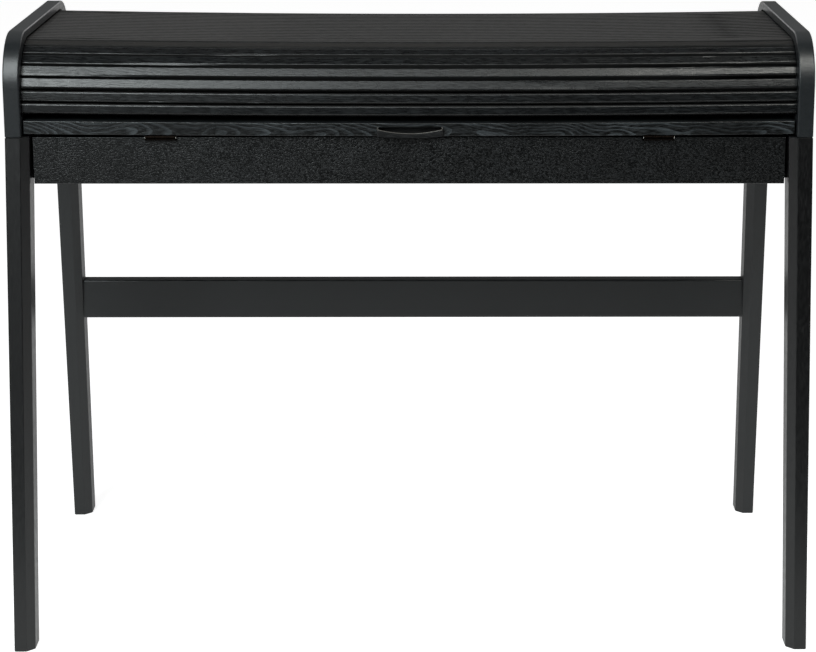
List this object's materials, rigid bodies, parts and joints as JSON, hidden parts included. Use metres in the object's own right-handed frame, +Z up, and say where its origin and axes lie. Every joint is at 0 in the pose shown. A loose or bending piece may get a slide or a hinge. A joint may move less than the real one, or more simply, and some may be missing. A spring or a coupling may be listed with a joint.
{
  "type": "roll top desk",
  "caption": "Slim desk on four splayed legs, with a roll top of narrow wooden slats, a pull-out worktop with a half-moon finger pull and a hinged front flap.",
  "frame": {"origin": "on the floor, under the middle of the desk's box", "axes": "+X to the desk's right as seen from the front, +Y to its back, +Z up"},
  "size_m": [1.11, 0.6308, 0.854],
  "materials": {
    "stained_frame": "black stain, satin lacquer",
    "stained_board": "black-stained ash veneer, open grain, satin lacquer",
    "stained_slat": "black-stained ash, open grain, satin lacquer",
    "pull": "black stain, satin lacquer",
    "hinge_steel": "dark bronzed steel with worn bright edges",
    "beech_dowel": "plain beech"
  },
  "bodies": {
    "case": {"side_panel_left": "stained_frame", "side_panel_right": "stained_frame", "front_leg_left": "stained_frame", "front_leg_right": "stained_frame", "rear_leg_left": "stained_frame", "rear_leg_right": "stained_frame", "side_rail_left": "stained_frame", "side_rail_right": "stained_frame", "rear_rail": "stained_frame", "stretcher": "stained_frame", "back_cover": "stained_board", "inner_back": "stained_board", "compartment_bottom": "stained_board", "worktop_runner_left": "stained_frame", "worktop_runner_right": "stained_frame", "panel_dowels": "beech_dowel", "stretcher_dowels": "beech_dowel", "rear_rail_dowels": "beech_dowel"},
    "roll_top": {"slat_09": "stained_slat", "slat_10": "stained_slat", "slat_11": "stained_slat", "slat_12": "stained_slat", "slat_13": "stained_slat", "slat_14": "stained_slat", "slat_15": "stained_slat", "slat_16": "stained_slat", "slat_17": "stained_slat", "slat_18": "stained_slat", "slat_19": "stained_slat", "slat_20": "stained_slat"},
    "slat_01_body": {"slat_01": "stained_slat"},
    "slat_02_body": {"slat_02": "stained_slat"},
    "slat_03_body": {"slat_03": "stained_slat"},
    "slat_04_body": {"slat_04": "stained_slat"},
    "slat_05_body": {"slat_05": "stained_slat"},
    "slat_06_body": {"slat_06": "stained_slat"},
    "slat_07_body": {"slat_07": "stained_slat"},
    "slat_08_body": {"slat_08": "stained_slat"},
    "slat_21_body": {"slat_21": "stained_slat"},
    "slat_22_body": {"slat_22": "stained_slat"},
    "slat_23_body": {"slat_23": "stained_slat"},
    "slat_24_body": {"slat_24": "stained_slat"},
    "slat_25_body": {"slat_25": "stained_slat"},
    "slat_26_body": {"slat_26": "stained_slat"},
    "slat_27_body": {"slat_27": "stained_slat"},
    "slat_28_body": {"slat_28": "stained_slat"},
    "worktop": {"worktop": "stained_board", "finger_pull": "pull", "worktop_hinge_leaves": "hinge_steel", "hinge_pins": "hinge_steel"},
    "flap": {"front_flap": "stained_board", "flap_hinge_leaves": "hinge_steel"}
  },
  "joints": [
    {"name": "roll_top_slide", "type": "slide", "parent": "case", "child": "roll_top", "axis": [0, 1, 0], "range_m": [0, 0.099]},
    {"name": "slat_01_turn", "type": "hinge", "parent": "case", "child": "slat_01_body", "pos_m": [0, -0.14977, 0.76013], "axis": [-1, 0, 0], "range_deg": [0, 73.3]},
    {"name": "slat_02_turn", "type": "hinge", "parent": "case", "child": "slat_02_body", "pos_m": [0, -0.157, 0.7655], "axis": [-1, 0, 0], "range_deg": [0, 82.23]},
    {"name": "slat_03_turn", "type": "hinge", "parent": "case", "child": "slat_03_body", "pos_m": [0, -0.15057, 0.75657], "axis": [-1, 0, 0], "range_deg": [0, 71.54]},
    {"name": "slat_04_turn", "type": "hinge", "parent": "case", "child": "slat_04_body", "pos_m": [0, -0.14232, 0.73892], "axis": [-1, 0, 0], "range_deg": [0, 57.84]},
    {"name": "slat_05_turn", "type": "hinge", "parent": "case", "child": "slat_05_body", "pos_m": [0, -0.13407, 0.70891], "axis": [-1, 0, 0], "range_deg": [0, 44.14]},
    {"name": "slat_06_turn", "type": "hinge", "parent": "case", "child": "slat_06_body", "pos_m": [0, -0.12582, 0.65081], "axis": [-1, 0, 0], "range_deg": [0, 30.44]},
    {"name": "slat_07_turn", "type": "hinge", "parent": "case", "child": "slat_07_body", "pos_m": [0, -0.11757, 0.49716], "axis": [-1, 0, 0], "range_deg": [0, 16.74]},
    {"name": "slat_08_turn", "type": "hinge", "parent": "case", "child": "slat_08_body", "pos_m": [0, -0.10932, -1.04434], "axis": [-1, 0, 0], "range_deg": [0, 3.04]},
    {"name": "slat_21_turn", "type": "hinge", "parent": "case", "child": "slat_21_body", "pos_m": [0, 0.09543, 0.40553], "axis": [-1, 0, 0], "range_deg": [0, 13.19]},
    {"name": "slat_22_turn", "type": "hinge", "parent": "case", "child": "slat_22_body", "pos_m": [0, 0.10368, 0.62605], "axis": [-1, 0, 0], "range_deg": [0, 26.9]},
    {"name": "slat_23_turn", "type": "hinge", "parent": "case", "child": "slat_23_body", "pos_m": [0, 0.11193, 0.69769], "axis": [-1, 0, 0], "range_deg": [0, 40.6]},
    {"name": "slat_24_turn", "type": "hinge", "parent": "case", "child": "slat_24_body", "pos_m": [0, 0.12018, 0.73269], "axis": [-1, 0, 0], "range_deg": [0, 54.3]},
    {"name": "slat_25_turn", "type": "hinge", "parent": "case", "child": "slat_25_body", "pos_m": [0, 0.12843, 0.75279], "axis": [-1, 0, 0], "range_deg": [0, 68]},
    {"name": "slat_26_turn", "type": "hinge", "parent": "case", "child": "slat_26_body", "pos_m": [0, 0.13668, 0.76513], "axis": [-1, 0, 0], "range_deg": [0, 81.7]},
    {"name": "slat_27_turn", "type": "hinge", "parent": "case", "child": "slat_27_body", "pos_m": [0, 0.13291, 0.76226], "axis": [-1, 0, 0], "range_deg": [0, 76.85]},
    {"name": "slat_28_turn", "type": "hinge", "parent": "case", "child": "slat_28_body", "pos_m": [0, 0.1183, 0.75401], "axis": [-1, 0, 0], "range_deg": [0, 63.14]},
    {"name": "worktop_slide", "type": "slide", "parent": "case", "child": "worktop", "axis": [0, -1, 0], "range_m": [0, 0.18]},
    {"name": "flap_hinge", "type": "hinge", "parent": "worktop", "child": "flap", "pos_m": [0, -0.2333, 0.7151], "axis": [-1, 0, 0], "range_deg": [0, 90]}
  ],
  "couplings": [
    {"joint": "slat_01_turn", "follows": "roll_top_slide", "rad_per_m": 12.919},
    {"joint": "slat_02_turn", "follows": "roll_top_slide", "rad_per_m": 14.493},
    {"joint": "slat_03_turn", "follows": "roll_top_slide", "rad_per_m": 12.609},
    {"joint": "slat_04_turn", "follows": "roll_top_slide", "rad_per_m": 10.194},
    {"joint": "slat_05_turn", "follows": "roll_top_slide", "rad_per_m": 7.7785},
    {"joint": "slat_06_turn", "follows": "roll_top_slide", "rad_per_m": 5.363},
    {"joint": "slat_07_turn", "follows": "roll_top_slide", "rad_per_m": 2.9476},
    {"joint": "slat_08_turn", "follows": "roll_top_slide", "rad_per_m": 0.53213},
    {"joint": "slat_21_turn", "follows": "roll_top_slide", "rad_per_m": 2.3225},
    {"joint": "slat_22_turn", "follows": "roll_top_slide", "rad_per_m": 4.738},
    {"joint": "slat_23_turn", "follows": "roll_top_slide", "rad_per_m": 7.1534},
    {"joint": "slat_24_turn", "follows": "roll_top_slide", "rad_per_m": 9.5689},
    {"joint": "slat_25_turn", "follows": "roll_top_slide", "rad_per_m": 11.984},
    {"joint": "slat_26_turn", "follows": "roll_top_slide", "rad_per_m": 14.4},
    {"joint": "slat_27_turn", "follows": "roll_top_slide", "rad_per_m": 13.544},
    {"joint": "slat_28_turn", "follows": "roll_top_slide", "rad_per_m": 11.129}
  ]
}
